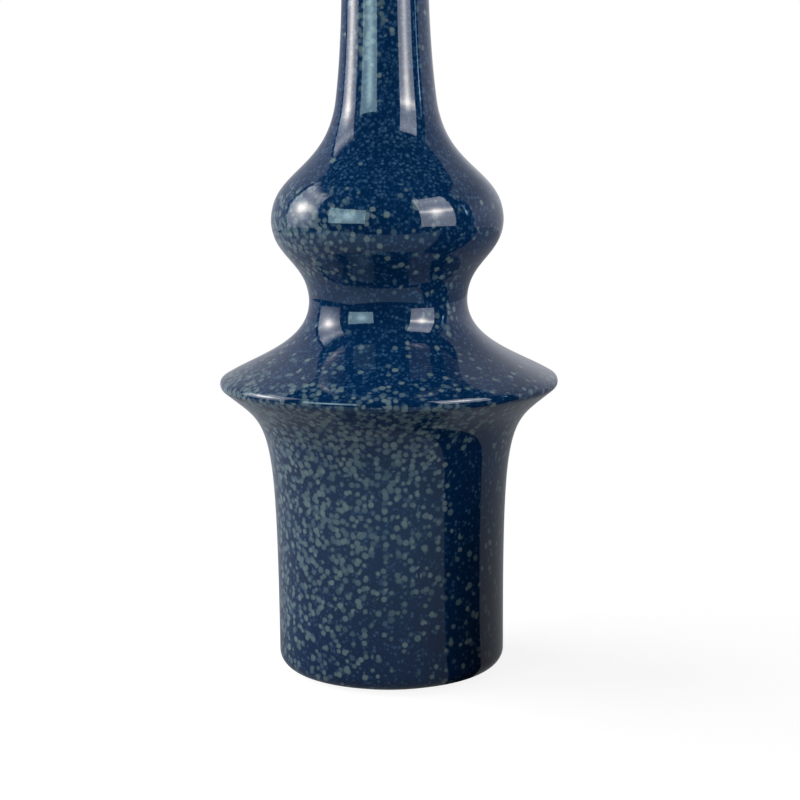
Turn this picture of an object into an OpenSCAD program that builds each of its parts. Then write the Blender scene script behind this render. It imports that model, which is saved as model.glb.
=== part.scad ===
// Ceramic vase: a straight drum, a wide sharp flange, a drawn-in waist, an onion bulb and a long neck.
// It is put together as a sectional pot is. Thrown rings stand one on another in tongued joints that
// are filled with slip, a floor disc sits in a rebate, a turned foot ring carries the whole pot, and
// one coat of glaze lies over the outside and another over the inside.
// Every outline starts from the glazed outside. The clay lies one coat of glaze under it, and the
// hollow lies one wall further in. +Z is up, and the origin is the centre of the standing face.

/* [Heights] */
// Height of the flange's edge above the table
flange_h = 145.5; // [125:0.5:175]
// Rise from the flange's edge to the waist
shoulder_h = 40; // [34:0.5:52]
// Rise from the waist to the widest line of the bulb
bulb_low_h = 40; // [32:0.5:52]
// Rise from the widest line of the bulb to the root of the neck
bulb_top_h = 57; // [48:0.5:70]
// Rise from the root of the neck to the throat
neck_h = 90; // [60:0.5:130]
// Rise from the throat to the rim
mouth_h = 37.5; // [32:0.5:55]

/* [Diameters] */
// Diameter of the drum
drum_d = 113.6; // [104:0.2:124]
// Diameter of the flange
flange_d = 167.8; // [156:0.2:184]
// Diameter of the waist
waist_d = 78.2; // [70:0.2:86]
// Diameter of the bulb
bulb_d = 114.6; // [104:0.2:126]
// Diameter at the root of the neck
root_d = 49.6; // [46:0.2:56]
// Diameter of the throat, where the neck is narrowest
throat_d = 41.6; // [38:0.2:45]
// Diameter of the rim
mouth_d = 53; // [48:0.2:60]

/* [Edges] */
// Radius of the rounded heel under the drum
heel_r = 7.5; // [6:0.5:10]
// Radius of the flange's edge
flange_edge_r = 3.6; // [2.5:0.1:5]
// Radius of the rim's rounded edge
lip_r = 3.2; // [2.5:0.1:4]
// Lean of the outside just under the flange's edge, from upright
flare_angle = 50.5; // [44:0.5:56]
// Lean of the outside just over the flange's edge, from upright
shoulder_angle = 58.5; // [52:0.5:64]
// Lean of the outside at the root of the neck, from upright
root_angle = 7.5; // [4:0.5:11]
// Lean of the outside under the rim, from upright
mouth_angle = 27; // [18:1:34]
// Lean of the inside under the rim, from upright
mouth_inner_angle = 38; // [30:1:44]

/* [Walls] */
// Clay wall at the foot of the drum
drum_wall = 7; // [5.5:0.1:8]
// Clay wall near the flange
flange_wall = 6; // [5:0.1:7]
// Clay wall at the waist
waist_wall = 6; // [4.5:0.1:7]
// Clay wall at the widest line of the bulb
bulb_wall = 5.5; // [4.5:0.1:7]
// Clay wall at the root of the neck
neck_wall = 4.4; // [3.8:0.1:5.5]
// Clay wall at the throat, left thicker where the bore is trued
throat_wall = 5.1; // [4.6:0.1:6]
// Length of the true bore in the throat
bore_len = 18; // [12:0.5:20]
// Coat of glaze, outside and inside
glaze_t = 0.6; // [0.4:0.05:0.8]

/* [Joints] */
// Layer of slip in every luted joint
slip_t = 0.5; // [0.3:0.05:0.7]
// Height of the tongue in the joint between two rings
tongue_h = 2; // [1:0.1:3]

/* [Foot and floor] */
// How far the foot ring's edge lies inside the end of the heel's rounding
foot_set_in = 2.3; // [1.5:0.1:5]
// Width of the foot ring's standing face and bevels together
foot_w = 8; // [6:0.2:10]
// Height of the glazed heel above the table
foot_rise = 1.4; // [1:0.1:3]
// Depth of the step under the drum that takes the foot ring
foot_seat = 1.6; // [1:0.1:2.5]
// Bevel on the foot ring's two lower edges
foot_bevel = 0.8; // [0.4:0.1:1.2]
// Thickness of the ledge inside the drum that carries the floor disc
ledge_t = 3.5; // [3:0.1:5]
// Thickness of the floor disc over the ledge
floor_t = 5; // [4:0.1:7]
// Radius of the cove between the floor and the wall
cove_r = 5; // [3:0.1:7]

/* [Hidden] */
$fn = 144;

// Straight pieces that one curve or arc is drawn with
curve_steps = 20;
// Two outline points nearer than this are one point
same_point = 0.001;

// Where the glaze stops on the heel, in degrees below its widest point
glaze_line_angle = 62;
// Where the joint between drum and flare dish cuts the belly curve
flare_cut_share = 0.38;
// Where the hollow leaves the belly curve, and where it meets the shoulder curve again
hollow_out_share = 0.87;
hollow_in_share = 0.3;
// Reach of the hollow's rounding behind the flange, of its own chord
hollow_round_share = 0.42;
// Width of a tongue, of the wall that it stands on
tongue_share = 0.34;
// Reach of each curve's two handles, of the curve's rise: first at its foot, then at its head
belly_shares = [0.905, 0.224];
shoulder_shares = [0.45, 0.555];
bulb_low_shares = [0.49, 0.45];
bulb_top_shares = [0.43, 0.58];
neck_shares = [0.36, 0.25];
mouth_shares = [0.45, 0.3];
mouth_inner_shares = [0.4, 0.35];

// Heights of the stations above the table
heel_z = foot_rise + heel_r;
waist_z = flange_h + shoulder_h;
bulb_z = waist_z + bulb_low_h;
root_z = bulb_z + bulb_top_h;
throat_z = root_z + neck_h;
bore_z = throat_z + bore_len;
rim_z = throat_z + mouth_h;
under_z = foot_rise + glaze_t;
seat_z = under_z + foot_seat;
ledge_z = seat_z + ledge_t;
floor_z = ledge_z + slip_t + floor_t;

// Radii that more than one piece uses
foot_r = drum_d / 2 - heel_r - foot_set_in;
foot_inner_r = foot_r - foot_w;
drum_inner_r = drum_d / 2 - glaze_t - drum_wall;
bore_r = throat_d / 2 - throat_wall - 2 * glaze_t;
flange_centre = [flange_d / 2 - flange_edge_r, flange_h];
lip_centre = [mouth_d / 2 - lip_r, rim_z - lip_r];
cove_centre = [drum_inner_r - cove_r, floor_z + cove_r];

function mix(a, b, t) = a + (b - a) * t;
function polar(angle) = [cos(angle), sin(angle)];
function lean(angle) = [sin(angle), cos(angle)];
function reverse(points) = [for (i = [len(points) - 1 : -1 : 0]) points[i]];

// A cubic curve from its four control points, its direction, and the normal on its right
function bezier(c, t) =
    pow(1 - t, 3) * c[0] + 3 * pow(1 - t, 2) * t * c[1] + 3 * (1 - t) * pow(t, 2) * c[2] + pow(t, 3) * c[3];
function bezier_way(c, t) =
    3 * pow(1 - t, 2) * (c[1] - c[0]) + 6 * (1 - t) * t * (c[2] - c[1]) + 3 * pow(t, 2) * (c[3] - c[2]);
function right_of(way) = [way.y, -way.x] / norm(way);

// Four control points from two ends, the lean at each, and the reach of the handles
function handles(a, lean_a, b, lean_b, shares) =
    let (rise = b.y - a.y)
    [a, a + lean(lean_a) * shares[0] * rise, b - lean(lean_b) * shares[1] * rise, b];

// The point at t that lies under the curve, to its left, by a depth that runs from d[0] to d[1]
function under(c, d, t) = bezier(c, t) - mix(d[0], d[1], t) * right_of(bezier_way(c, t));
function stretch(c, d, t0, t1) =
    [for (i = [0 : curve_steps]) under(c, d, mix(t0, t1, i / curve_steps))];
function arc(centre, r, angle0, angle1) =
    [for (i = [0 : curve_steps]) centre + r * polar(mix(angle0, angle1, i / curve_steps))];

// The share of a curve that one layer of slip takes up at t
function slip_share(c, t) = slip_t / norm(bezier_way(c, t));
flange_slip_angle = slip_t / flange_edge_r * 180 / PI;

// The curves of the glazed outside, from the heel up
belly = handles([drum_d / 2, heel_z], 0,
                flange_centre + flange_edge_r * polar(-flare_angle), flare_angle, belly_shares);
shoulder = handles(flange_centre + flange_edge_r * polar(shoulder_angle), -shoulder_angle,
                   [waist_d / 2, waist_z], 0, shoulder_shares);
bulb_low = handles([waist_d / 2, waist_z], 0, [bulb_d / 2, bulb_z], 0, bulb_low_shares);
bulb_top = handles([bulb_d / 2, bulb_z], 0, [root_d / 2, root_z], -root_angle, bulb_top_shares);
neck_line = handles([root_d / 2, root_z], -root_angle, [throat_d / 2, throat_z], 0, neck_shares);
mouth = handles([throat_d / 2, throat_z], 0,
                lip_centre + lip_r * polar(-mouth_angle), mouth_angle, mouth_shares);
// The glazed inside of the mouth, from the bore up
mouth_inner = handles([bore_r, bore_z], 0,
                      lip_centre + lip_r * polar(180 - mouth_inner_angle), mouth_inner_angle,
                      mouth_inner_shares);

// Wall of clay at the foot and at the head of each curve, measured with the coat outside it
belly_walls = [drum_wall + glaze_t, flange_wall + glaze_t];
shoulder_walls = [flange_wall + glaze_t, waist_wall + glaze_t];
bulb_low_walls = [waist_wall + glaze_t, bulb_wall + glaze_t];
bulb_top_walls = [bulb_wall + glaze_t, neck_wall + glaze_t];
neck_walls = [neck_wall + glaze_t, throat_wall + glaze_t];

flare_cut = flare_cut_share + slip_share(belly, flare_cut_share);
waist_cut = slip_share(bulb_low, 0);
bulb_cut = slip_share(bulb_top, 0);
neck_cut = slip_share(neck_line, 0);

// Outside of each ring, going up, at a depth d under the glazed outside
function heel_side(d) = arc([drum_d / 2 - heel_r, heel_z], heel_r - d, -glaze_line_angle, 0);
function drum_side(d) = concat(heel_side(d), stretch(belly, [d, d], 0, flare_cut_share));
function flare_side(d) =
    concat(stretch(belly, [d, d], flare_cut, 1), arc(flange_centre, flange_edge_r - d, -flare_angle, 0));
function shoulder_side(d) =
    concat(arc(flange_centre, flange_edge_r - d, flange_slip_angle, shoulder_angle),
           stretch(shoulder, [d, d], 0, 1));
function bowl_side(d) = stretch(bulb_low, [d, d], waist_cut, 1);
function dome_side(d) = stretch(bulb_top, [d, d], bulb_cut, 1);
function neck_side(d) =
    concat(stretch(neck_line, [d, d], neck_cut, 1), stretch(mouth, [d, d], 0, 1),
           arc(lip_centre, lip_r - d, -mouth_angle, 90));
function whole_side(d) =
    concat(drum_side(d), flare_side(d), shoulder_side(d), bowl_side(d), dome_side(d), neck_side(d));

// The rounding of the hollow behind the flange, at a depth d beyond the clay's inner face
function hollow_round(d) =
    let (a = under(belly, belly_walls + [d, d], hollow_out_share))
    let (b = under(shoulder, shoulder_walls + [d, d], hollow_in_share))
    let (way_a = bezier_way(belly, hollow_out_share))
    let (way_b = bezier_way(shoulder, hollow_in_share))
    let (reach = hollow_round_share * norm(b - a))
    [a, a + reach * way_a / norm(way_a), b - reach * way_b / norm(way_b), b];
hollow_cut = 1 / 2;
function round_stretch(d, t0, t1) = stretch(hollow_round(d), [0, 0], t0, t1);
hollow_slip_share = slip_share(hollow_round(0), hollow_cut);

// Inside of each ring, going up, at a depth d beyond the clay's inner face
function cove(d) = arc(cove_centre, cove_r - d, -90, 0);
function drum_wall_line(d) =
    [for (i = [0 : curve_steps])
        let (t = flare_cut_share * i / curve_steps)
        if (under(belly, belly_walls, t).y > cove_centre.y + same_point)
            under(belly, belly_walls + [d, d], t)];
function flare_hollow(d) =
    concat(stretch(belly, belly_walls + [d, d], flare_cut, hollow_out_share),
           round_stretch(d, 0, hollow_cut));
function shoulder_hollow(d) =
    concat(round_stretch(d, hollow_cut + hollow_slip_share, 1),
           stretch(shoulder, shoulder_walls + [d, d], hollow_in_share, 1));
function bowl_hollow(d) = stretch(bulb_low, bulb_low_walls + [d, d], waist_cut, 1);
function dome_hollow(d) = stretch(bulb_top, bulb_top_walls + [d, d], bulb_cut, 1);
function neck_hollow(d) =
    concat(stretch(neck_line, neck_walls + [d, d], neck_cut, 1),
           stretch(mouth_inner, [d - glaze_t, d - glaze_t], 0, 1),
           reverse(arc(lip_centre, lip_r - glaze_t + d, 90, 180 - mouth_inner_angle)));
function whole_hollow(d) =
    concat([[0, floor_z + d]], cove(d), drum_wall_line(d), flare_hollow(d), shoulder_hollow(d),
           bowl_hollow(d), dome_hollow(d), neck_hollow(d));

// The tongue on the head of a ring, from its outer to its inner edge, and the groove that takes it
function ridge(a, b, share, rise) =
    let (across = b - a)
    let (up = right_of(across) * rise)
    [a + across * (1 - share) / 2, a + across * (1 - share) / 2 + up,
     a + across * (1 + share) / 2 + up, a + across * (1 + share) / 2];
function tongue(a, b) = ridge(a, b, tongue_share, tongue_h);
function groove(a, b) = ridge(a, b, tongue_share + 2 * slip_t / norm(b - a), tongue_h);
function first(points) = points[0];
function last(points) = points[len(points) - 1];

// An outline without its doubled points
function tidy(points) =
    let (n = len(points))
    [for (i = [0 : n - 1]) if (norm(points[i] - points[(i + n - 1) % n]) > same_point) points[i]];

module turned(points) {
    rotate_extrude() polygon(tidy(points));
}

// A ring between two tongued joints, from its outside and its inside line
module ring(side, hollow) {
    turned(concat(side, tongue(last(side), last(hollow)), reverse(hollow),
                  reverse(groove(first(side), first(hollow)))));
}

// The slip between the head of the ring below and the foot of the ring above
module slip_ring(side_below, hollow_below, side_above, hollow_above) {
    lower = [last(side_below), last(hollow_below)];
    upper = [first(side_above), first(hollow_above)];
    turned(concat([lower[0]], tongue(lower[0], lower[1]), [lower[1]],
                  [upper[1]], reverse(groove(upper[0], upper[1])), [upper[0]]));
}

// Turned stoneware ring that the pot stands on, left bare
module foot_ring() {
    top = seat_z - slip_t;
    color("tan")
        turned([[foot_inner_r, foot_bevel], [foot_inner_r + foot_bevel, 0], [foot_r - foot_bevel, 0],
                [foot_r, foot_bevel], [foot_r, top], [foot_inner_r, top]]);
}

// Slip over the foot ring and round its outer edge, in the step under the drum
module foot_slip() {
    color("peru")
        turned([[foot_r, under_z], [foot_r + slip_t, under_z], [foot_r + slip_t, seat_z],
                [foot_inner_r, seat_z], [foot_inner_r, seat_z - slip_t], [foot_r, seat_z - slip_t]]);
}

// Disc that closes the drum: its rim lies on the ledge and its boss fills the ledge's eye
module floor_disc() {
    boss_r = foot_inner_r - slip_t;
    disc_r = drum_inner_r - slip_t;
    color("wheat")
        turned([[0, seat_z], [boss_r, seat_z], [boss_r, ledge_z + slip_t], [disc_r, ledge_z + slip_t],
                [disc_r, floor_z], [0, floor_z]]);
}

// Slip under and round the floor disc, smoothed into a cove against the wall
module floor_slip() {
    boss_r = foot_inner_r - slip_t;
    disc_r = drum_inner_r - slip_t;
    color("peru")
        turned(concat([[boss_r, seat_z], [foot_inner_r, seat_z], [foot_inner_r, ledge_z],
                       [drum_inner_r, ledge_z]],
                      reverse(cove(0)),
                      [[disc_r, floor_z], [disc_r, ledge_z + slip_t], [boss_r, ledge_z + slip_t]]));
}

// Straight base ring with the ledge for the floor disc and the step for the foot ring
module drum() {
    side = concat(arc([drum_d / 2 - heel_r, heel_z], heel_r - glaze_t, -90, -glaze_line_angle),
                  drum_side(glaze_t));
    wall = drum_wall_line(0);
    foot = [[drum_inner_r, ledge_z], [foot_inner_r, ledge_z], [foot_inner_r, seat_z],
            [foot_r + slip_t, seat_z], [foot_r + slip_t, under_z]];
    color("burlywood")
        turned(concat(side, tongue(last(side), last(wall)), reverse(wall), foot));
}

module flare_slip() {
    color("peru")
        slip_ring(drum_side(glaze_t), drum_wall_line(0), flare_side(glaze_t), flare_hollow(0));
}

// Open dish that widens from the drum to the lower half of the flange
module flare_dish() {
    color("burlywood") ring(flare_side(glaze_t), flare_hollow(0));
}

module flange_slip() {
    color("peru")
        slip_ring(flare_side(glaze_t), flare_hollow(0), shoulder_side(glaze_t), shoulder_hollow(0));
}

// Dish turned upside down on the flange, drawn in to the waist
module shoulder_dish() {
    color("burlywood") ring(shoulder_side(glaze_t), shoulder_hollow(0));
}

module waist_slip() {
    color("peru")
        slip_ring(shoulder_side(glaze_t), shoulder_hollow(0), bowl_side(glaze_t), bowl_hollow(0));
}

// Lower half of the bulb
module bulb_bowl() {
    color("burlywood") ring(bowl_side(glaze_t), bowl_hollow(0));
}

module bulb_slip() {
    color("peru")
        slip_ring(bowl_side(glaze_t), bowl_hollow(0), dome_side(glaze_t), dome_hollow(0));
}

// Upper half of the bulb, closed in to the root of the neck
module bulb_dome() {
    color("burlywood") ring(dome_side(glaze_t), dome_hollow(0));
}

module neck_slip() {
    color("peru")
        slip_ring(dome_side(glaze_t), dome_hollow(0), neck_side(glaze_t), neck_hollow(0));
}

// Neck, with the true bore of the throat and the rolled rim
module neck() {
    side = neck_side(glaze_t);
    hollow = neck_hollow(0);
    color("burlywood")
        turned(concat(side, reverse(hollow), reverse(groove(first(side), first(hollow)))));
}

// Blue glaze from the line on the heel up to the crest of the rim
module outer_glaze() {
    color("midnightblue") turned(concat(whole_side(0), reverse(whole_side(glaze_t))));
}

// Glaze over the floor and the whole hollow, up to the crest of the rim
module liner_glaze() {
    color("darkslateblue") turned(concat(whole_hollow(0), reverse(whole_hollow(glaze_t))));
}

foot_ring();
foot_slip();
floor_disc();
floor_slip();
drum();
flare_slip();
flare_dish();
flange_slip();
shoulder_dish();
waist_slip();
bulb_bowl();
bulb_slip();
bulb_dome();
neck_slip();
neck();
outer_glaze();
liner_glaze();
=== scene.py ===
import math

import bpy
import numpy as np
from mathutils import Matrix, Vector


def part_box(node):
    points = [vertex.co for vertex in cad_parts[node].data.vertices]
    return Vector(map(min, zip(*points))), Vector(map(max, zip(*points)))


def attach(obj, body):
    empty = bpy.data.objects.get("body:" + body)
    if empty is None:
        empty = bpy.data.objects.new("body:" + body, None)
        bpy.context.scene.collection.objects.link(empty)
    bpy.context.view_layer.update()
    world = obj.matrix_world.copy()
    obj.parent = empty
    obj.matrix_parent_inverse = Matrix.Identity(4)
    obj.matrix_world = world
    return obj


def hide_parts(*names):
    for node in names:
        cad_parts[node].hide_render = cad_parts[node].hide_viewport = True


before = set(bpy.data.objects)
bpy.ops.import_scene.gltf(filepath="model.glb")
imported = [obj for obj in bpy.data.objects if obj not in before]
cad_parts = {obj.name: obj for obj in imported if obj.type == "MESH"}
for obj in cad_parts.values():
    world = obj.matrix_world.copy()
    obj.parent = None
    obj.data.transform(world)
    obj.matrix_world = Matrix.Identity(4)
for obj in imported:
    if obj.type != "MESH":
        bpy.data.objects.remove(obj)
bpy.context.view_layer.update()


# Camera. A long lens stands about as high as the neck's root and looks slightly down at the vase. It leans
# by half a degree, and the vase stands a little left of the middle.
LENS_MM = 81.0
SENSOR_MM = 36.0
STAND_OFF = 0.9
LOOK_DOWN = math.radians(9.008)
LEAN = math.radians(-0.529)
AIM_HEIGHT = 0.1354
AIM_SIDE = 0.0054


def place_camera():
    """The camera lies STAND_OFF from its aim, back along a line that falls by LOOK_DOWN."""
    lens = bpy.data.cameras.new("camera")
    lens.lens = LENS_MM
    lens.sensor_width = SENSOR_MM
    camera = bpy.data.objects.new("camera", lens)
    aim = Vector((AIM_SIDE, 0.0, AIM_HEIGHT))
    back = Vector((0.0, -math.cos(LOOK_DOWN), math.sin(LOOK_DOWN)))
    upright = Matrix.Rotation(math.pi / 2 - LOOK_DOWN, 4, "X")
    camera.matrix_world = (
        Matrix.Translation(aim + back * STAND_OFF) @ upright @ Matrix.Rotation(LEAN, 4, "Z")
    )
    bpy.context.scene.collection.objects.link(camera)
    bpy.context.scene.camera = camera


place_camera()
bpy.context.scene.view_settings.view_transform = "Standard"


# Foot ring. A bare ring of buff stoneware, thrown, then trimmed on the wheel with a loop tool, and fired
# once with the pot. The tool leaves fine rings and drags the grit.
MM = 0.001
FOOT_CLAY = "#A08C6C"
FOOT_CLAY_TOASTED = "#7C664A"
TOAST_PATCH_MM = 9
IRON_GRIT = "#4A3626"
GRIT_SPACING_MM = 1.1
# Shares of the spacing within which a grain is in full colour, and past which it has ended
GRIT_FULL = 0.12
GRIT_END = 0.22
CLAY_GRAIN_MM = 0.5
TRIM_RING_MM = 0.7
# A tool ring's height against that of the clay's own grain, and the height of both in mm
TRIM_RING_SHARE = 0.25
TRIM_RELIEF_MM = 0.06
CLAY_IOR = 1.5
CLAY_ROUGHNESS = 0.85


def linear(code):
    """An sRGB hex colour as linear red, green, blue and full alpha."""
    parts = [int(code[i : i + 2], 16) / 255 for i in (1, 3, 5)]
    return [c / 12.92 if c <= 0.04045 else ((c + 0.055) / 1.055) ** 2.4 for c in parts] + [1.0]


def add(tree, kind, inputs=None, **settings):
    """Adds one node. An input takes a plain value, or another node's output, which is linked to it."""
    node = tree.nodes.new(kind)
    for name, value in settings.items():
        setattr(node, name, value)
    for name, value in (inputs or {}).items():
        if isinstance(value, bpy.types.NodeSocket):
            tree.links.new(value, node.inputs[name])
        else:
            node.inputs[name].default_value = value
    return node


def new_material(name):
    """An empty material: its node tree, its output and the piece's own coordinates in metres."""
    material = bpy.data.materials.new(name)
    material.use_nodes = True
    tree = material.node_tree
    tree.nodes.clear()
    output = add(tree, "ShaderNodeOutputMaterial")
    place = add(tree, "ShaderNodeTexCoord").outputs["Object"]
    return material, tree, output, place


def surface(tree, output, colour, roughness, ior, height, relief, strength=1.0):
    """The finished surface: its colour, how matt it is, and its relief. A height of 1 is relief mm high."""
    bump = add(
        tree, "ShaderNodeBump",
        {"Height": height, "Distance": relief * MM, "Strength": strength},
    )
    shader = add(
        tree, "ShaderNodeBsdfPrincipled",
        {"Base Color": colour, "Roughness": roughness, "IOR": ior, "Normal": bump.outputs["Normal"]},
    )
    tree.links.new(shader.outputs[0], output.inputs[0])


def trimmed_stoneware():
    """Unglazed stoneware. It has no gloss, warm toasted patches, iron grit, and rings left by the tool."""
    material, tree, output, place = new_material("stoneware_trimmed_bare")
    toast = add(
        tree, "ShaderNodeTexNoise",
        {"Vector": place, "Scale": 1 / (TOAST_PATCH_MM * MM), "Detail": 4.0},
    )
    clay = add(
        tree, "ShaderNodeMix",
        {"Factor": toast.outputs["Fac"], 6: linear(FOOT_CLAY_TOASTED), 7: linear(FOOT_CLAY)},
        data_type="RGBA",
    )
    grit = add(tree, "ShaderNodeTexVoronoi", {"Vector": place, "Scale": 1 / (GRIT_SPACING_MM * MM)})
    speck = add(
        tree, "ShaderNodeMapRange",
        {"Value": grit.outputs["Distance"], "From Min": GRIT_END, "From Max": GRIT_FULL},
    )
    flecked = add(
        tree, "ShaderNodeMix",
        {"Factor": speck.outputs["Result"], 6: clay.outputs[2], 7: linear(IRON_GRIT)},
        data_type="RGBA",
    )
    across = add(tree, "ShaderNodeVectorMath", {0: place, 1: (1.0, 1.0, 0.0)}, operation="MULTIPLY")
    radius = add(tree, "ShaderNodeVectorMath", {0: across.outputs[0]}, operation="LENGTH")
    turns = add(
        tree, "ShaderNodeMath",
        {0: radius.outputs["Value"], 1: 2 * math.pi / (TRIM_RING_MM * MM)},
        operation="MULTIPLY",
    )
    groove = add(tree, "ShaderNodeMath", {0: turns.outputs[0]}, operation="SINE")
    grain = add(
        tree, "ShaderNodeTexNoise",
        {"Vector": place, "Scale": 1 / (CLAY_GRAIN_MM * MM), "Detail": 3.0},
    )
    height = add(
        tree, "ShaderNodeMath",
        {0: groove.outputs[0], 1: TRIM_RING_SHARE, 2: grain.outputs["Fac"]},
        operation="MULTIPLY_ADD",
    )
    surface(tree, output, flecked.outputs[2], CLAY_ROUGHNESS, CLAY_IOR, height.outputs[0], TRIM_RELIEF_MM)
    return material


def finish_node(name, material):
    """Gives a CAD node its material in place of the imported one."""
    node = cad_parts[name]
    node.data.materials.clear()
    node.data.materials.append(material)


finish_node("foot_ring", trimmed_stoneware())


# Clay rings and the floor disc. Buff stoneware thrown on the wheel. The glaze hides all of it but the
# underside of the drum, which is wiped with a wet sponge, so it is smoother and paler than the foot.
THROWN_CLAY = "#B7A283"
THROWN_CLAY_DARK = "#9A8363"
CLAY_CLOUD_MM = 14
THROWING_RING_MM = 3.2
THROWING_RELIEF_MM = 0.08
# What the sponge leaves of the rings
THROWING_SPONGED = 0.6


def thrown_stoneware():
    """Wheel-thrown clay. Faint rings of a finger's pressure run round it at an even spacing in height."""
    material, tree, output, place = new_material("stoneware_thrown_sponged")
    cloud = add(
        tree, "ShaderNodeTexNoise",
        {"Vector": place, "Scale": 1 / (CLAY_CLOUD_MM * MM), "Detail": 5.0},
    )
    clay = add(
        tree, "ShaderNodeMix",
        {"Factor": cloud.outputs["Fac"], 6: linear(THROWN_CLAY_DARK), 7: linear(THROWN_CLAY)},
        data_type="RGBA",
    )
    height = add(tree, "ShaderNodeSeparateXYZ", {"Vector": place})
    turns = add(
        tree, "ShaderNodeMath",
        {0: height.outputs["Z"], 1: 2 * math.pi / (THROWING_RING_MM * MM)},
        operation="MULTIPLY",
    )
    ring = add(tree, "ShaderNodeMath", {0: turns.outputs[0]}, operation="SINE")
    surface(
        tree, output, clay.outputs[2], CLAY_ROUGHNESS, CLAY_IOR,
        ring.outputs[0], THROWING_RELIEF_MM, THROWING_SPONGED,
    )
    return material


thrown = thrown_stoneware()
for ring in ("floor_disc", "drum", "flare_dish", "shoulder_dish", "bulb_bowl", "bulb_dome", "neck"):
    finish_node(ring, thrown)


# Slip in the joints. Clay thinned with water, brushed on before two rings are pressed together. It dries
# smooth and a little darker than the clay, with the streaks of the brush.
SLIP = "#8E7553"
SLIP_STREAK = "#A58C68"
BRUSH_HAIR_MM = 0.6
# A streak is one hair high, which is this share of its length round the joint
STREAK_SHARE = 0.12
SLIP_RELIEF_MM = 0.05
# What drying leaves of the streaks
SLIP_DRIED = 0.8


def brushed_slip():
    """Fired slip, matt, with streaks one brush hair wide that run round the joint."""
    material, tree, output, place = new_material("slip_brushed")
    squeezed = add(
        tree, "ShaderNodeVectorMath",
        {0: place, 1: (STREAK_SHARE, STREAK_SHARE, 1.0)},
        operation="MULTIPLY",
    )
    streak = add(
        tree, "ShaderNodeTexNoise",
        {"Vector": squeezed.outputs[0], "Scale": 1 / (BRUSH_HAIR_MM * MM), "Detail": 2.0},
    )
    clay = add(
        tree, "ShaderNodeMix",
        {"Factor": streak.outputs["Fac"], 6: linear(SLIP), 7: linear(SLIP_STREAK)},
        data_type="RGBA",
    )
    surface(
        tree, output, clay.outputs[2], CLAY_ROUGHNESS, CLAY_IOR,
        streak.outputs["Fac"], SLIP_RELIEF_MM, SLIP_DRIED,
    )
    return material


slip = brushed_slip()
for joint in (
    "foot_slip", "floor_slip", "flare_slip", "flange_slip", "waist_slip", "bulb_slip", "neck_slip",
):
    finish_node(joint, slip)


# Outer glaze. A deep blue gloss glaze sprayed over the outside, with a paler grey-green glaze spattered
# on it while wet. In the kiln both melt level into one glassy coat, so the drops are round, sunk in and
# soft at the edge.
GLAZE_BLUE = "#022448"
GLAZE_BLUE_DEEP = "#011C39"
DROP_SUNK = "#26486A"
DROP_BLUE = "#33526D"
DROP_GREEN = "#3C5563"
DROP_GREEN_PALE = "#5B6D72"
GLAZE_CLOUD_MM = 22
GLAZE_IOR = 1.5
GLAZE_ROUGHNESS = 0.045
# Width and height of the ripples that the coat keeps when it melts level
RIPPLE_MM = 4
RIPPLE_RELIEF_MM = 0.012
# Layers of drops: spacing, radius and width of the soft edge in mm, cover and colour of the thinnest
# drop, cover and colour of the thickest, and which share they follow
DROP_LAYERS = (
    (3.2, 1.48, 0.9, (0.60, DROP_GREEN), (1.00, DROP_GREEN_PALE), "coarse"),
    (3.3, 1.30, 0.9, (0.60, DROP_GREEN), (1.00, DROP_GREEN_PALE), "coarse"),
    (3.05, 1.20, 0.9, (0.60, DROP_GREEN), (1.00, DROP_GREEN_PALE), "coarse"),
    (1.65, 0.76, 0.7, (0.25, DROP_SUNK), (0.75, DROP_BLUE), "fine"),
    (1.1, 0.42, 0.5, (0.10, DROP_SUNK), (0.45, DROP_SUNK), "fine"),
)
# A drop's radius against its layer's, and how far its centre may lie off the surface
DROP_SIZES = (0.75, 1.15)
DROP_OFFSET = 0.6
# A drop's outline sways by up to half of SWAY_BY_MM in waves of SWAY_MM
SWAY_MM = 1.6
SWAY_BY_MM = 0.9
# Heights in mm that the spray is measured from: the foot, the joints at the flange, at the waist and at
# the bulb's widest line, and the rim
LEVELS = {
    "foot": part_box("foot_ring")[0].z / MM,
    "flange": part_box("flange_slip")[0].z / MM,
    "waist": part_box("waist_slip")[0].z / MM,
    "bulb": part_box("bulb_slip")[0].z / MM,
    "rim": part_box("outer_glaze")[1].z / MM,
}
# How much of the spray caught: a level and mm above it, share of the coarse drops, share of the fine ones
SPRAY = (
    ("foot", 0, 0.40, 0.40),
    ("foot", 25, 0.40, 0.40),
    ("foot", 60, 0.48, 0.40),
    ("flange", -40.5, 0.52, 0.40),
    ("flange", -25.5, 0.85, 0.40),
    ("flange", -3.5, 1.00, 0.40),
    ("flange", 1.5, 0.45, 0.50),
    ("flange", 9.5, 0.08, 0.65),
    ("waist", -10.5, 0.03, 0.65),
    ("waist", 4.5, 0.02, 0.50),
    ("bulb", -22.5, 0.08, 0.55),
    ("bulb", -0.5, 0.16, 0.65),
    ("bulb", 12.5, 0.08, 0.80),
    ("bulb", 20.5, 0.01, 0.95),
    ("rim", -128, 0.00, 1.00),
    ("rim", -110, 0.07, 1.00),
    ("rim", 0, 0.18, 0.90),
)
# The gun came from the left. By how much the side that faced it caught more, coarse and fine, and the
# other side less
SPRAY_AZIMUTH = -75
SPRAY_SIDES = (0.5, 0.2)
# Where it laid less or more of the coarse drops: azimuth, a level and mm above it, the spreads in degrees
# and in mm, by how much
SPRAY_PATCHES = (
    (44, "flange", -45.5, 19, 48, -1.3),
    (12, "foot", 15, 30, 45, -0.85),
    (-62, "bulb", -3.5, 32, 28, 3.5),
    (44, "waist", -3.5, 11, 15, 14.0),
    (-80, "flange", 16.5, 30, 14, 1.8),
    (-28, "rim", -85, 14, 60, 6.0),
    (-3, "rim", -87, 9, 7, 9.0),
)
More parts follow.
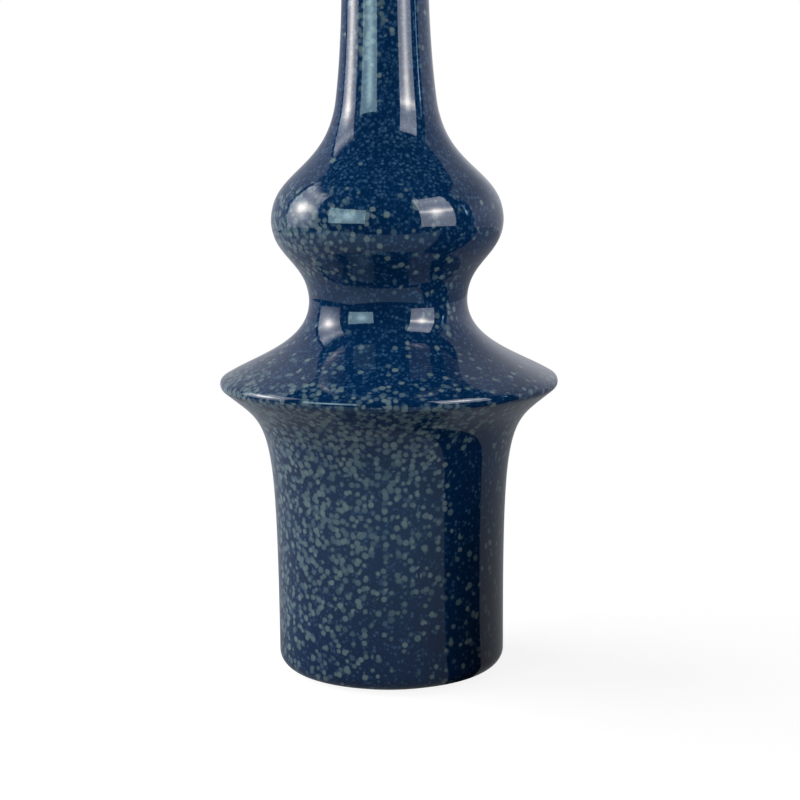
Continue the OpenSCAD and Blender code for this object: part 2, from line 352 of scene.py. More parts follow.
# Steps of a coat round the axis, few enough for 200,000 triangles, and the longest step up its outline.
# Rows of the CAD closer than SAME_ROW count as one, and the outline is evened out EVENED times.
COLUMNS = 172
OUTLINE_STEP = 2.5 * MM
SAME_ROW = 0.05 * MM
EVENED = 2
# A face belongs to a skin where at least this share of its normal looks away from the axis, or to it
LEAST_OUTWARDS = 0.02


def skin_outline(node, side):
    """Radius and height along one skin of a turned coat, from its foot up.

    The coat is cut from cones, so each of its vertices lies on the outline. It belongs to the outer
    skin (side 1) if its face looks away from the axis, and to the inner skin (side -1) if it looks
    towards the axis. Height rises all along either skin, so sorting by height puts them in order.
    Vertices closer than SAME_ROW lie in one row, which is their mean."""
    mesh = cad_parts[node].data
    points = np.empty((len(mesh.vertices), 3))
    mesh.vertices.foreach_get("co", points.ravel())
    corners = np.empty((len(mesh.polygons), 3), int)
    mesh.polygons.foreach_get("vertices", corners.ravel())
    normals = np.empty((len(mesh.polygons), 3))
    mesh.polygons.foreach_get("normal", normals.ravel())
    corner = points[corners]
    radius = np.hypot(corner[..., 0], corner[..., 1])
    outwards = (corner[..., :2] * normals[:, None, :2]).sum(-1) / np.maximum(radius, 1e-9)
    on_skin = side * outwards > LEAST_OUTWARDS
    found = np.stack([corner[..., 2][on_skin], radius[on_skin]], 1)
    found = found[np.argsort(found[:, 0])]
    apart = np.linalg.norm(np.diff(found, axis=0), axis=1) > SAME_ROW
    first = np.concatenate([[0], np.flatnonzero(apart) + 1])
    rows = np.add.reduceat(found, first) / np.diff(np.append(first, len(found)))[:, None]
    return rows[:, ::-1]


def even(rows):
    """Each row but the first and the last becomes the mean of itself, twice, and its neighbours."""
    rows = rows.copy()
    for _ in range(EVENED):
        rows[1:-1] = (rows[:-2] + 2 * rows[1:-1] + rows[2:]) / 4
    return rows


def smooth_outline(outline, step):
    """A curve through the outline's points, no longer than step between two rows, and its direction.

    Each point is first moved to the mean of itself and its neighbours, weighed 1 : 2 : 1, EVENED times
    over, so that no crease shows in the gloss. It moves by a few hundredths of a millimetre. Between two
    points the curve is the cubic with the right direction at each of them, which is that of the parabola
    through the point and its two neighbours, evened in the same way."""
    outline = even(outline)
    length = np.concatenate([[0], np.cumsum(np.linalg.norm(np.diff(outline, axis=0), axis=1))])
    way = even(np.gradient(outline, length, axis=0, edge_order=2))
    gaps = np.diff(length)
    counts = np.ceil(gaps / step).astype(int)
    first = np.repeat(np.arange(len(gaps)), counts)
    t = np.concatenate([np.arange(n) / n for n in counts])
    first = np.append(first, len(gaps) - 1)
    t = np.append(t, 1.0)[:, None]
    a, b, gap = outline[first], outline[first + 1], gaps[first][:, None]
    way_a, way_b = way[first] * gap, way[first + 1] * gap
    curve = (
        a * (2 * t**3 - 3 * t**2 + 1) + way_a * (t**3 - 2 * t**2 + t)
        + b * (3 * t**2 - 2 * t**3) + way_b * (t**3 - t**2)
    )
    slope = (
        a * (6 * t**2 - 6 * t) + way_a * (3 * t**2 - 4 * t + 1)
        + b * (6 * t - 6 * t**2) + way_b * (3 * t**2 - 2 * t)
    )
    return curve, slope / np.linalg.norm(slope, axis=1)[:, None]


def directions(outline):
    """At each row, the direction of the line from the row before it to the row after it."""
    slope = np.gradient(outline, axis=0)
    return slope / np.linalg.norm(slope, axis=1)[:, None]


def new_piece(name, points, faces):
    """An object in the scene with a mesh of these points and faces."""
    mesh = bpy.data.meshes.new(name)
    mesh.from_pydata(points.reshape(-1, 3).tolist(), [], faces)
    piece = bpy.data.objects.new(name, mesh)
    bpy.context.scene.collection.objects.link(piece)
    return piece


def round_the_axis(across, up):
    """The points (across cos a, across sin a, up) for each row and each of the COLUMNS angles a."""
    angle = np.arange(COLUMNS)[None] * 2 * np.pi / COLUMNS
    across, up = across[:, None], up[:, None]
    return np.stack([across * np.cos(angle), across * np.sin(angle), up + 0 * angle], -1).reshape(-1, 3)


def fan(tip, ring):
    """Triangles from one vertex to the sides of a closed ring of vertices, in the ring's own sense."""
    return np.stack([np.full(len(ring), tip), ring, np.roll(ring, -1)], -1).tolist()


def turned_mesh(name, rows, slopes, closed):
    """Turns rows of radius and height round the axis.

    The normal lies on the right of the outline's own direction (dr, dz), at (dz cos a, dz sin a, -dr). A
    closed outline runs back to its first row, and an open one starts and ends on the axis, where each end
    is one vertex and a fan of triangles."""
    points = round_the_axis(rows[:, 0], rows[:, 1])
    normals = round_the_axis(slopes[:, 1], -slopes[:, 0])
    row = np.arange(len(rows) if closed else len(rows) - 1)[:, None] * COLUMNS
    above = (row + COLUMNS) % (len(rows) * COLUMNS)
    column = np.arange(COLUMNS)[None]
    beside = (column + 1) % COLUMNS
    faces = np.stack([row + column, row + beside, above + beside, above + column], -1)
    faces = faces.reshape(-1, 4).tolist()
    if not closed:
        low_end, high_end = len(points), len(points) + 1
        faces += fan(low_end, np.arange(COLUMNS)[::-1])
        faces += fan(high_end, np.arange(COLUMNS) + len(points) - COLUMNS)
        points = np.concatenate([points, [[0, 0, rows[0, 1]], [0, 0, rows[-1, 1]]]])
        normals = np.concatenate([normals, [[0, 0, -1], [0, 0, 1]]])
    piece = new_piece(name, points, faces)
    piece.data.polygons.foreach_set("use_smooth", np.ones(len(faces), bool))
    piece.data.normals_split_custom_set_from_vertices(normals.tolist())
    return piece


def sprayed(piece, all_over):
    """Writes the two shares of drops on each vertex. A share is read off SPRAY by height, times
    1 + side cos(azimuth - SPRAY_AZIMUTH). The coarse one is also multiplied by
    1 + amount exp(-(turn / spread)^2 - (rise / spread)^2) for each patch."""
    points = np.empty((len(piece.data.vertices), 3))
    piece.data.vertices.foreach_get("co", points.ravel())
    azimuth = np.degrees(np.arctan2(points[:, 0], -points[:, 1]))
    height = points[:, 2] / MM
    facing = np.cos(np.radians(azimuth - SPRAY_AZIMUTH))
    caught = {"coarse": 1 + SPRAY_SIDES[0] * facing, "fine": 1 + SPRAY_SIDES[1] * facing}
    for middle, level, offset, turn_spread, rise_spread, amount in SPRAY_PATCHES:
        turn = (azimuth - middle) / turn_spread
        rise = (height - LEVELS[level] - offset) / rise_spread
        caught["coarse"] *= 1 + amount * np.exp(-(turn**2) - rise**2)
    levels, offsets, coarse, fine = zip(*SPRAY)
    heights = [LEVELS[level] + offset for level, offset in zip(levels, offsets)]
    for name, share in (("coarse", coarse), ("fine", fine)):
        layer = piece.data.attributes.new(name, "FLOAT", "POINT")
        layer.data.foreach_set("value", np.interp(height, heights, share) * caught[name] * all_over)


def drop_layer(tree, place, shifted, normal, share, feature, spacing, radius, soft, thin, thick):
    """Cover and colour of the drops round the nearest (F1) or the next nearest (F2) scattered point.

    A drop is the ball of points within a radius of a scattered point. It is kept where its own random
    number is under the share, and where its centre lies so near the surface that the cut is a full disc."""
    scattered = add(
        tree, "ShaderNodeTexVoronoi",
        {"Vector": shifted, "Scale": 1 / (spacing * MM)},
        feature=feature,
    )
    chance = add(tree, "ShaderNodeSeparateXYZ", {"Vector": scattered.outputs["Color"]})
    kept = add(tree, "ShaderNodeMath", {0: chance.outputs["X"], 1: share}, operation="LESS_THAN")
    offset = add(
        tree, "ShaderNodeVectorMath",
        {0: place, 1: scattered.outputs["Position"]},
        operation="SUBTRACT",
    )
    depth = add(tree, "ShaderNodeVectorMath", {0: offset.outputs[0], 1: normal}, operation="DOT_PRODUCT")
    landed = add(
        tree, "ShaderNodeMath",
        {0: depth.outputs["Value"], 1: 0.0, 2: DROP_OFFSET * radius * MM},
        operation="COMPARE",
    )
    there = add(tree, "ShaderNodeMath", {0: kept.outputs[0], 1: landed.outputs[0]}, operation="MULTIPLY")
    dense = add(
        tree, "ShaderNodeMapRange",
        {"Value": chance.outputs["Y"], "To Min": thin[0], "To Max": thick[0]},
    )
    most = add(
        tree, "ShaderNodeMath",
        {0: there.outputs[0], 1: dense.outputs["Result"]},
        operation="MULTIPLY",
    )
    colour = add(
        tree, "ShaderNodeMix",
        {"Factor": chance.outputs["Y"], 6: linear(thin[1]), 7: linear(thick[1])},
        data_type="RGBA",
    )
    reach = add(
        tree, "ShaderNodeMapRange",
        {
            "Value": chance.outputs["Z"],
            "To Min": DROP_SIZES[0] * radius / spacing,
            "To Max": DROP_SIZES[1] * radius / spacing,
        },
    )
    inside = add(
        tree, "ShaderNodeMath",
        {0: reach.outputs["Result"], 1: scattered.outputs["Distance"]},
        operation="SUBTRACT",
    )
    cover = add(
        tree, "ShaderNodeMapRange",
        {
            "Value": inside.outputs[0],
            "From Min": -soft / spacing / 2,
            "From Max": soft / spacing / 2,
            "To Max": most.outputs[0],
        },
        interpolation_type="SMOOTHSTEP",
    )
    return cover.outputs["Result"], colour.outputs[2]


def speckled_glaze(name):
    """Gloss glaze with drops. It looks wet and deep: sharp reflections over a dark, mottled ground."""
    material, tree, output, place = new_material(name)
    sway = add(tree, "ShaderNodeTexNoise", {"Vector": place, "Scale": 1 / (SWAY_MM * MM), "Detail": 2.0})
    centred = add(
        tree, "ShaderNodeVectorMath",
        {0: sway.outputs["Color"], 1: (0.5, 0.5, 0.5)},
        operation="SUBTRACT",
    )
    shifted = add(
        tree, "ShaderNodeVectorMath",
        {0: centred.outputs[0], 1: [SWAY_BY_MM * MM] * 3, 2: place},
        operation="MULTIPLY_ADD",
    ).outputs[0]
    normal = add(tree, "ShaderNodeTexCoord").outputs["Normal"]
    cloud = add(
        tree, "ShaderNodeTexNoise",
        {"Vector": place, "Scale": 1 / (GLAZE_CLOUD_MM * MM), "Detail": 3.0},
    )
    ground = add(
        tree, "ShaderNodeMix",
        {"Factor": cloud.outputs["Fac"], 6: linear(GLAZE_BLUE_DEEP), 7: linear(GLAZE_BLUE)},
        data_type="RGBA",
    ).outputs[2]
    shares = {
        share: add(tree, "ShaderNodeAttribute", attribute_name=share).outputs["Fac"]
        for share in ("coarse", "fine")
    }
    colour = ground
    for *sizes, share in reversed(DROP_LAYERS):
        for feature in ("F2", "F1"):
            cover, drop = drop_layer(tree, place, shifted, normal, shares[share], feature, *sizes)
            colour = add(
                tree, "ShaderNodeMix",
                {"Factor": cover, 6: colour, 7: drop},
                data_type="RGBA",
            ).outputs[2]
    ripple = add(tree, "ShaderNodeTexNoise", {"Vector": place, "Scale": 1 / (RIPPLE_MM * MM), "Detail": 2.0})
    surface(tree, output, colour, GLAZE_ROUGHNESS, GLAZE_IOR, ripple.outputs["Fac"], RIPPLE_RELIEF_MM)
    return material


def outer_coat():
    """The coat's outer skin going up, and its clay side coming down again."""
    shown, shown_way = smooth_outline(skin_outline("outer_glaze", 1), OUTLINE_STEP)
    hidden = skin_outline("outer_glaze", -1)[1:-1]
    rows = np.concatenate([shown, hidden[::-1]])
    ways = np.concatenate([shown_way, -directions(hidden)[::-1]])
    return turned_mesh("outer_glaze_coat", rows, ways, closed=True)


coat = outer_coat()
sprayed(coat, 1.0)
spattered = speckled_glaze("glaze_blue_gloss_spattered")
coat.data.materials.append(spattered)
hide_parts("outer_glaze")
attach(coat, "root")


# Liner glaze. The same blue glaze, poured in and out again to seal the pot. It isn't sprayed, so it has
# few drops, LINER_SPRAY of the outer coat's, and it meets that coat on the crest of the rim.
LINER_SPRAY = 0.3


def liner_coat():
    """The clay side going up from the floor's middle, and the inner skin coming down to it again."""
    hidden = skin_outline("liner_glaze", 1)[:-1]
    shown, shown_way = smooth_outline(skin_outline("liner_glaze", -1), OUTLINE_STEP)
    rows = np.concatenate([hidden, shown[::-1]])
    ways = np.concatenate([directions(hidden), -shown_way[::-1]])
    return turned_mesh("liner_glaze_coat", rows, ways, closed=False)


liner = liner_coat()
sprayed(liner, LINER_SPRAY)
liner.data.materials.append(speckled_glaze("glaze_blue_gloss_poured"))
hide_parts("liner_glaze")
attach(liner, "root")


# Floor and world. A plain pale table that runs on into a white background. Eyes, gloss and glass see
# white, and the vase is lit by the lamps and by a plain grey sky.
FLOOR_RADIUS = 3.0
FLOOR_PALE = "#B9B9BC"
# Where the floor is looked at: what it shows of the lamps' light, its own white beside that, and the
# distances from the vase between which both fade into plain white
FLOOR_SHADE = 0.22
FLOOR_WHITE = 0.89
SHADE_REACH = (0.09, 0.36)
SKY_LEVEL = 0.06


def white_seen(tree):
    """1 for a ray that is looked along, mirrored or let through, and 0 for one that only carries light."""
    path = add(tree, "ShaderNodeLightPath")
    either = add(
        tree, "ShaderNodeMath",
        {0: path.outputs["Is Camera Ray"], 1: path.outputs["Is Glossy Ray"]},
        operation="MAXIMUM",
    )
    return add(
        tree, "ShaderNodeMath",
        {0: either.outputs[0], 1: path.outputs["Is Transmission Ray"]},
        operation="MAXIMUM",
    ).outputs[0]


def disc(name, radius, height, rings=24, spokes=96):
    """A flat round sheet: (share * radius, angle) on a grid, with the middle as one vertex."""
    share = np.arange(1, rings + 1)[:, None] / rings
    angle = np.arange(spokes)[None] * 2 * np.pi / spokes
    points = np.stack(
        [radius * share * np.cos(angle), radius * share * np.sin(angle), height + 0 * share * angle], -1
    ).reshape(-1, 3)
    row = np.arange(rings - 1)[:, None] * spokes
    column = np.arange(spokes)[None]
    beside = (column + 1) % spokes
    faces = np.stack([row + column, row + spokes + column, row + spokes + beside, row + beside], -1)
    faces = faces.reshape(-1, 4).tolist() + fan(len(points), np.arange(spokes))
    return new_piece(name, np.concatenate([points, [[0, 0, height]]]), faces)


def pale_floor():
    """Painted board. What is looked at is nearly white, and keeps the soft shadow of the vase."""
    material, tree, output, place = new_material("board_painted_pale")
    plain = add(tree, "ShaderNodeBsdfDiffuse", {"Color": linear(FLOOR_PALE)})
    shaded = add(tree, "ShaderNodeBsdfDiffuse", {"Color": (FLOOR_SHADE, FLOOR_SHADE, FLOOR_SHADE, 1.0)})
    glow = add(tree, "ShaderNodeEmission", {"Color": (1.0, 1.0, 1.0, 1.0), "Strength": FLOOR_WHITE})
    near = add(tree, "ShaderNodeAddShader", {0: shaded.outputs[0], 1: glow.outputs[0]})
    far = add(tree, "ShaderNodeEmission", {"Color": (1.0, 1.0, 1.0, 1.0), "Strength": 1.0})
    away = add(tree, "ShaderNodeVectorMath", {0: place}, operation="LENGTH")
    fade = add(
        tree, "ShaderNodeMapRange",
        {"Value": away.outputs["Value"], "From Min": SHADE_REACH[0], "From Max": SHADE_REACH[1]},
        interpolation_type="SMOOTHSTEP",
    )
    white = add(
        tree, "ShaderNodeMixShader",
        {0: fade.outputs["Result"], 1: near.outputs[0], 2: far.outputs[0]},
    )
    seen = add(
        tree, "ShaderNodeMixShader",
        {0: white_seen(tree), 1: plain.outputs[0], 2: white.outputs[0]},
    )
    tree.links.new(seen.outputs[0], output.inputs[0])
    return material


floor = disc("floor", FLOOR_RADIUS, 0.0)
floor.data.materials.append(pale_floor())


def white_world():
    """White where it is looked at, mirrored or seen through, and a plain grey sky for the light."""
    world = bpy.data.worlds.new("world")
    bpy.context.scene.world = world
    world.use_nodes = True
    tree = world.node_tree
    tree.nodes.clear()
    sky = add(tree, "ShaderNodeBackground", {"Color": (1.0, 1.0, 1.0, 1.0), "Strength": SKY_LEVEL})
    white = add(tree, "ShaderNodeBackground", {"Color": (1.0, 1.0, 1.0, 1.0), "Strength": 1.0})
    seen = add(
        tree, "ShaderNodeMixShader",
        {0: white_seen(tree), 1: sky.outputs[0], 2: white.outputs[0]},
    )
    output = add(tree, "ShaderNodeOutputWorld")
    tree.links.new(seen.outputs[0], output.inputs[0])


white_world()


# Lamps. A soft box on the left, one on the right and a window in front on the left light the vase at a
# plain level. A dark flag stands close on the right and keeps the right box off the drum, so its right
# side falls into shade. What the glaze mirrors of them are the cards of the next section.
MIDDLE = Vector((0.0, 0.0, 0.21))
LAMP_DISTANCE = 1.0
# Name, azimuths, elevations, level
LAMPS = (
    ("left_box_lamp", (-130, -72), (-6, 60), 4.3),
    ("right_box_lamp", (40, 75), (-4, 49), 5.7),
    ("window_lamp", (-61, -21), (3, 28), 3.6),
)
FLAG_RADIUS = 0.16
FLAG_HEIGHT = 0.15
FLAG_GAP = 1 * MM
FLAG_AZIMUTHS = (40, 106)
FLAG_STEPS = (25, 8)
FLAG_BLACK = "#161616"


def direction(azimuth, elevation):
    """The way to a thing in the room: azimuth 0 is towards the camera and 90 to the right of the vase."""
    a, e = math.radians(azimuth), math.radians(elevation)
    return Vector((math.sin(a) * math.cos(e), -math.cos(a) * math.cos(e), math.sin(e)))


def soft_lamp(name, azimuths, elevations, level):
    """A flat lamp that faces the vase and fills these angles. A white card that fills them and glows at
    this level would give the same light: energy = pi * area * level."""
    lamp = bpy.data.lights.new(name, "AREA")
    lamp.shape = "RECTANGLE"
    lamp.size = 2 * LAMP_DISTANCE * math.tan(math.radians(azimuths[1] - azimuths[0]) / 2)
    lamp.size_y = 2 * LAMP_DISTANCE * math.tan(math.radians(elevations[1] - elevations[0]) / 2)
    lamp.energy = math.pi * lamp.size * lamp.size_y * level
    made = bpy.data.objects.new(name, lamp)
    way = direction(sum(azimuths) / 2, sum(elevations) / 2)
    made.location = MIDDLE + way * LAMP_DISTANCE
    made.rotation_euler = way.to_track_quat("Z", "Y").to_euler()
    made.visible_glossy = False
    bpy.context.scene.collection.objects.link(made)


for lamp in LAMPS:
    soft_lamp(*lamp)


def grid_mesh(name, points):
    """A sheet through a grid of points, one face between each four neighbours."""
    rows, columns = points.shape[:2]
    row = np.arange(rows - 1)[:, None] * columns
    column = np.arange(columns - 1)[None]
    corner = row + column
    faces = np.stack([corner, corner + 1, corner + columns + 1, corner + columns], -1)
    return new_piece(name, points, faces.reshape(-1, 4).tolist())


def standing_flag():
    """Black cloth on a bent wire: (azimuth, height) at FLAG_RADIUS. It isn't seen, it only shades."""
    azimuth = np.radians(np.linspace(*FLAG_AZIMUTHS, FLAG_STEPS[0]))[None]
    height = np.linspace(FLAG_GAP, FLAG_HEIGHT, FLAG_STEPS[1])[:, None]
    flag = grid_mesh(
        "flag",
        np.stack(
            [
                FLAG_RADIUS * np.sin(azimuth) + 0 * height,
                -FLAG_RADIUS * np.cos(azimuth) + 0 * height,
                height + 0 * azimuth,
            ],
            -1,
        ),
    )
    material, tree, output, _ = new_material("cloth_black_hung")
    cloth = add(tree, "ShaderNodeBsdfDiffuse", {"Color": linear(FLAG_BLACK)})
    tree.links.new(cloth.outputs[0], output.inputs[0])
    flag.data.materials.append(material)
    flag.visible_camera = False
    flag.visible_glossy = False
    return flag


flag = standing_flag()


def keep_off(lamp, receivers=(), blockers=()):
    """The lamp doesn't light these receivers, and these blockers cast no shade in it."""
    for part, things in (("receiver_collection", receivers), ("blocker_collection", blockers)):
        if not things:
            continue
        left_out = bpy.data.collections.new(lamp.name + "_" + part)
        for thing in things:
            left_out.objects.link(thing)
        setattr(lamp.light_linking, part, left_out)
        for entry in left_out.collection_objects:
            entry.light_linking.link_state = "EXCLUDE"


keep_off(bpy.data.objects["right_box_lamp"], receivers=[floor])
keep_off(bpy.data.objects["left_box_lamp"], blockers=[flag])
keep_off(bpy.data.objects["window_lamp"], blockers=[flag])


# Cards. What stands round the vase and shows in its gloss: the cloth fronts of the soft boxes and of a thin
# strip light, the blind of the window, and grey cloth walls behind, whose glow is painted light. Only gloss
# sees them.
BOX_COOL = "#EAF0FC"
BOX_HOT = "#FFF9F3"
WINDOW_TEAL = "#CBF4FF"
WINDOW_HOT = "#D6F8FA"
STRIP_BLUE = "#9CCBFF"
# The walls' colour is painted light: the walls glow with it.
WALL_PAINTED_LIGHT = "#ECEEF6"
CARD_STEPS = 25
# A card's light rises from even by round spots (azimuth, elevation, level, width) and by lines that run
# across it (elevation, level, width). It turns to the hot colour between these two levels over even.
HOT_LEVELS = (1.0, 9.0)
# Distance in metres, azimuths of the ends of the lower and of the upper edge, elevations of these edges
CARDS = {
    "left_box_card": {
        "distance": 0.62,
        "low_ends": (-109.5, -70),
        "high_ends": (-122, -77),
        "elevations": (-6, 49),
        "colour": BOX_COOL,
        "even": 0.4,
        "hot_colour": BOX_HOT,
        "spots": ((-93.3, 21.2, 12.3, 8.0), (-93.3, 21.2, 5.0, 22.4)),
        "lines": ((22.5, 1.0, 4.0), (42, 2.9, 8.0)),
    },
    "right_box_card": {
        "distance": 0.62,
        "low_ends": (32, 67),
        "high_ends": (31, 71),
        "elevations": (-4, 48),
        "colour": BOX_COOL,
        "even": 3.3,
        "hot_colour": BOX_HOT,
        "spots": ((49.3, 22.2, 13.5, 6.5), (49.3, 22.2, 1.3, 18.2)),
        "lines": ((23.2, 7.2, 3.2), (42, 1.8, 9.0)),
    },
    "window_card": {
        "distance": 1.1,
        "low_ends": (-57, -21),
        "high_ends": (-61, -21),
        "elevations": (4, 29),
        "colour": WINDOW_TEAL,
        "even": 4.4,
        "hot_colour": WINDOW_HOT,
        "spots": ((-38, 17, 6.0, 7.0),),
    },
    "strip_card": {
        "distance": 1.1,
        "low_ends": (83, 85.5),
        "high_ends": (83, 85.5),
        "elevations": (11.5, 26),
        "colour": STRIP_BLUE,
        "even": 3.0,
        "hot_colour": WINDOW_TEAL,
        "spots": ((84, 15, 7.0, 2.5),),
    },
    "left_wall_card": {
        "distance": 1.3,
        "low_ends": (-180, -116),
        "high_ends": (-180, -128),
        "elevations": (-12, 48),
        "colour": WALL_PAINTED_LIGHT,
        "even": 0.52,
    },
    "right_wall_card": {
        "distance": 1.3,
        "low_ends": (92, 180),
        "high_ends": (92, 180),
        "elevations": (-12, 49),
        "colour": WALL_PAINTED_LIGHT,
        "even": 0.5,
        # Painted light on the wall: a band at elevation 12 glows brighter.
        "lines": ((12, 0.35, 14.0),),
    },
}


def only_in_gloss(card, material):
    """A card of the studio that nothing but a mirror ray meets."""
    card.data.materials.append(material)
    card.visible_camera = False
    card.visible_diffuse = False
    card.visible_transmission = False
    card.visible_shadow = False
    card.visible_volume_scatter = False


def bell(tree, distance, width):
    """exp(-(distance / width)^2)"""
    share = add(tree, "ShaderNodeMath", {0: distance, 1: width}, operation="DIVIDE")
    squared = add(tree, "ShaderNodeMath", {0: share.outputs[0], 1: share.outputs[0]}, operation="MULTIPLY")
    fall = add(tree, "ShaderNodeMath", {0: squared.outputs[0], 1: -1.0}, operation="MULTIPLY")
    return add(tree, "ShaderNodeMath", {0: fall.outputs[0]}, operation="EXPONENT").outputs[0]


def glowing_card(name, distance, colour, even, hot_colour=None, spots=(), lines=()):
    """A glowing card at this distance: for a lamp it is cloth lit from behind, for a wall it is painted
    light. A spot adds level exp(-(away / width)^2), and a line adds the same by the height over it. A degree
    counts as long as it is at that distance."""
    material, tree, output, place = new_material(name)
    degree = distance * math.radians(1)
    level = even
    for azimuth, elevation, strength, width in spots:
        centre = direction(azimuth, 0) * distance
        centre.z = MIDDLE.z + distance * math.tan(math.radians(elevation))
        away = add(tree, "ShaderNodeVectorMath", {0: place, 1: centre}, operation="DISTANCE")
        glow = bell(tree, away.outputs["Value"], width * degree)
        level = add(
            tree, "ShaderNodeMath", {0: glow, 1: strength, 2: level}, operation="MULTIPLY_ADD"
        ).outputs[0]
    height = add(tree, "ShaderNodeSeparateXYZ", {"Vector": place}).outputs["Z"]
    for elevation, strength, width in lines:
        across = MIDDLE.z + distance * math.tan(math.radians(elevation))
        rise = add(tree, "ShaderNodeMath", {0: height, 1: across}, operation="SUBTRACT")
        glow = bell(tree, rise.outputs[0], width * degree)
        level = add(
            tree, "ShaderNodeMath", {0: glow, 1: strength, 2: level}, operation="MULTIPLY_ADD"
        ).outputs[0]
    tint = linear(colour)
    if hot_colour:
        hot = add(
            tree, "ShaderNodeMapRange",
            {"Value": level, "From Min": even + HOT_LEVELS[0], "From Max": even + HOT_LEVELS[1]},
        )
        tint = add(
            tree, "ShaderNodeMix",
            {"Factor": hot.outputs["Result"], 6: tint, 7: linear(hot_colour)},
            data_type="RGBA",
        ).outputs[2]
    cloth = add(tree, "ShaderNodeEmission", {"Color": tint, "Strength": level})
    tree.links.new(cloth.outputs[0], output.inputs[0])
    return material


def standing_card(name, distance, low_ends, high_ends, elevations, **light):
    """An upright curved card. Its height is the tangent of the elevation, and its azimuth runs round the
    vase between two ends, which lean from those of the lower edge to those of the upper edge."""
    share = np.linspace(0, 1, CARD_STEPS)
    rise = np.tan(np.radians(np.linspace(*elevations, CARD_STEPS)))[:, None]
    up = (rise - rise[0]) / (rise[-1] - rise[0])
    start, end = (low + (high - low) * up for low, high in zip(low_ends, high_ends))
    azimuth = np.radians(start + (end - start) * share[None])
    points = distance * np.stack([np.sin(azimuth), -np.cos(azimuth), rise + 0 * azimuth], -1)
    card = grid_mesh(name, points + [0, 0, MIDDLE.z])
    only_in_gloss(card, glowing_card("cloth_backlit_" + name, distance, **light))


for name, card in CARDS.items():
    standing_card(name, **card)


# Dark room and table top. The dark ball and the dark floor lie behind all cards. The table top glows with
# painted light. It ends in front and on the left at straight edges, and a wedge that points at the foot is
# left out on the right, where the dark floor shows through as a painted shadow on the table. The table and
# the dark floor lie just under the glaze line, so that the gloss shows no gap below the heel.
ROOM_RADIUS = 2.2
ROOM_STEPS = (49, 33)
ROOM_DARK = 0.010
DARK_FLOOR_RADIUS = 2.15
# The outer coat's lower edge, and the two sheets just under it
GLAZE_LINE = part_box("outer_glaze")[0].z
DARK_HEIGHT = GLAZE_LINE - 0.58 * MM
TABLE_HEIGHT = GLAZE_LINE - 0.18 * MM
# The table's colours are painted light: grey under the lamps, and blue to the front where the window's light
# falls.
TABLE_GREY = "#DADFE6"
TABLE_WINDOW_LIGHT_BLUE = "#C8EAFF"
# Distances from the vase's axis to the straight front and left edges, and from the wedge's tip to the
# round back edge
TABLE_FRONT = 0.56
TABLE_LEFT = 0.80
TABLE_BACK = 1.4
# The wedge is painted shadow: the dark floor shows through where the table is left out.
WEDGE_TIP = (0.0168, -0.0398)
WEDGE_AZIMUTHS = (54.5, 101)
# Steps round the wedge's tip and outwards, and the share of the reach at which the first row lies
TABLE_STEPS = (181, 40)
TIP_SHARE = 0.002
# The table's painted light: its even level, what the front and the left side add, and the distances over
# which they do
TABLE_LEVEL = 0.36
TABLE_FRONT_LEVEL = 0.30
TABLE_FRONT_REACH = (0.05, 0.30)
TABLE_LEFT_LEVEL = 0.28
TABLE_LEFT_REACH = (0.05, 0.35)
# The vase's own shade: how much is left of the light, from the foot out to this distance
FOOT_SHADE = 0.85
FOOT_SHADE_REACH = (0.05, 0.16)


def dark_cloth():
    """Black cloth far from the lamps: next to no light comes back."""
    material, tree, output, _ = new_material("cloth_black_far")
    glow = add(tree, "ShaderNodeEmission", {"Color": (1.0, 1.0, 1.0, 1.0), "Strength": ROOM_DARK})
    tree.links.new(glow.outputs[0], output.inputs[0])
    return material


def dark_room(cloth):
    """A ball round everything, (azimuth, elevation) at ROOM_RADIUS, and a disc just over the floor."""
    azimuth = np.radians(np.linspace(0, 360, ROOM_STEPS[0]))[None]
    elevation = np.radians(np.linspace(-90, 90, ROOM_STEPS[1]))[:, None]
    points = ROOM_RADIUS * np.stack(
        [
            np.cos(elevation) * np.cos(azimuth),
            np.cos(elevation) * np.sin(azimuth),
            np.sin(elevation) + 0 * azimuth,
        ],
        -1,
    )
    only_in_gloss(grid_mesh("dark_room_card", points), cloth)
    only_in_gloss(disc("dark_floor_card", DARK_FLOOR_RADIUS, DARK_HEIGHT), cloth)


dark_room(dark_cloth())


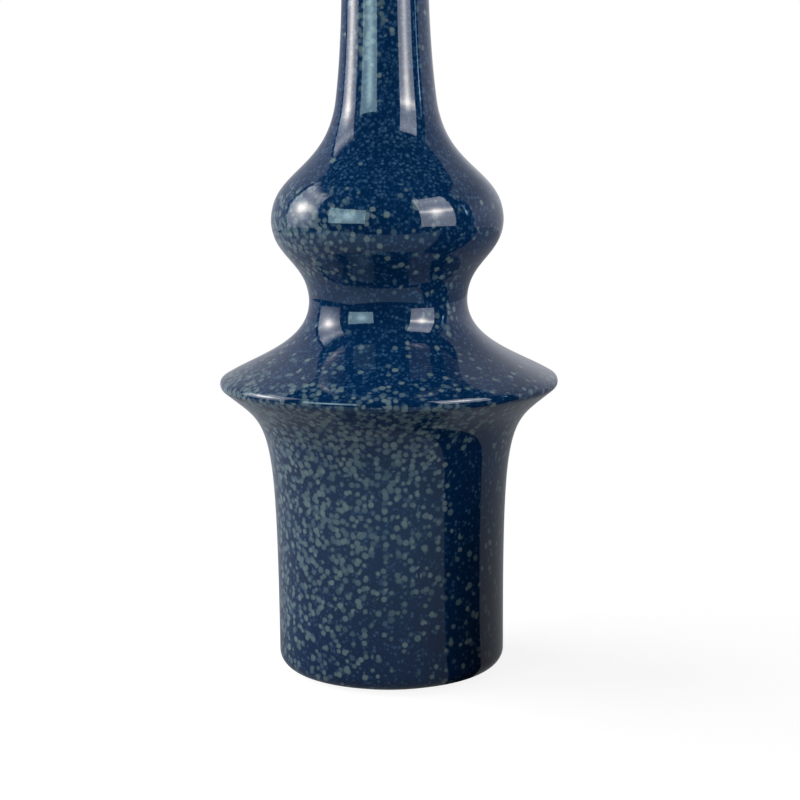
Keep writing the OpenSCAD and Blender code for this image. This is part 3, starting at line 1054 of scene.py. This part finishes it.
def painted_table_light():
    """Painted light of a grey table under the lamps: a glow, brighter to the left, bluer to the front with
    the window's light, and darker close to the foot as the vase's painted shadow.
    """
    material, tree, output, place = new_material("table_grey_painted_light")
    parts = add(tree, "ShaderNodeSeparateXYZ", {"Vector": place})
    front, left = [
        add(
            tree, "ShaderNodeMapRange",
            {"Value": parts.outputs[axis], "From Min": -reach[0], "From Max": -reach[1]},
        ).outputs["Result"]
        for axis, reach in (("Y", TABLE_FRONT_REACH), ("X", TABLE_LEFT_REACH))
    ]
    level = TABLE_LEVEL
    for share, more in ((front, TABLE_FRONT_LEVEL), (left, TABLE_LEFT_LEVEL)):
        level = add(
            tree, "ShaderNodeMath", {0: share, 1: more, 2: level}, operation="MULTIPLY_ADD"
        ).outputs[0]
    away = add(tree, "ShaderNodeVectorMath", {0: place}, operation="LENGTH").outputs["Value"]
    shade = add(
        tree, "ShaderNodeMapRange",
        {
            "Value": away,
            "From Min": FOOT_SHADE_REACH[0],
            "From Max": FOOT_SHADE_REACH[1],
            "To Min": FOOT_SHADE,
        },
    )
    kept = add(tree, "ShaderNodeMath", {0: level, 1: shade.outputs["Result"]}, operation="MULTIPLY")
    paint = add(
        tree, "ShaderNodeMix",
        {"Factor": front, 6: linear(TABLE_GREY), 7: linear(TABLE_WINDOW_LIGHT_BLUE)},
        data_type="RGBA",
    )
    glow = add(tree, "ShaderNodeEmission", {"Color": paint.outputs[2], "Strength": kept.outputs[0]})
    tree.links.new(glow.outputs[0], output.inputs[0])
    return material


def table_top():
    """A flat sheet of (azimuth, share of the reach) round the wedge's tip, with the wedge left out.

    The reach is the way along that azimuth to the nearest of three edges: to the straight front and left
    ones it is (edge - tip) / cosine or sine of the azimuth, and to the round back one it is TABLE_BACK."""
    azimuth = np.radians(np.linspace(WEDGE_AZIMUTHS[1], WEDGE_AZIMUTHS[0] + 360, TABLE_STEPS[0]))
    across, along = np.sin(azimuth), -np.cos(azimuth)
    reach = np.minimum.reduce(
        [
            (TABLE_FRONT + WEDGE_TIP[1]) / np.maximum(-along, 1e-3),
            (TABLE_LEFT + WEDGE_TIP[0]) / np.maximum(-across, 1e-3),
            np.full_like(azimuth, TABLE_BACK),
        ]
    )
    share = np.linspace(TIP_SHARE, 1, TABLE_STEPS[1])[:, None]
    points = np.stack(
        [
            WEDGE_TIP[0] + share * reach * across,
            WEDGE_TIP[1] + share * reach * along,
            TABLE_HEIGHT + 0 * share * reach,
        ],
        -1,
    )
    only_in_gloss(grid_mesh("table_top_card", points), painted_table_light())


table_top()
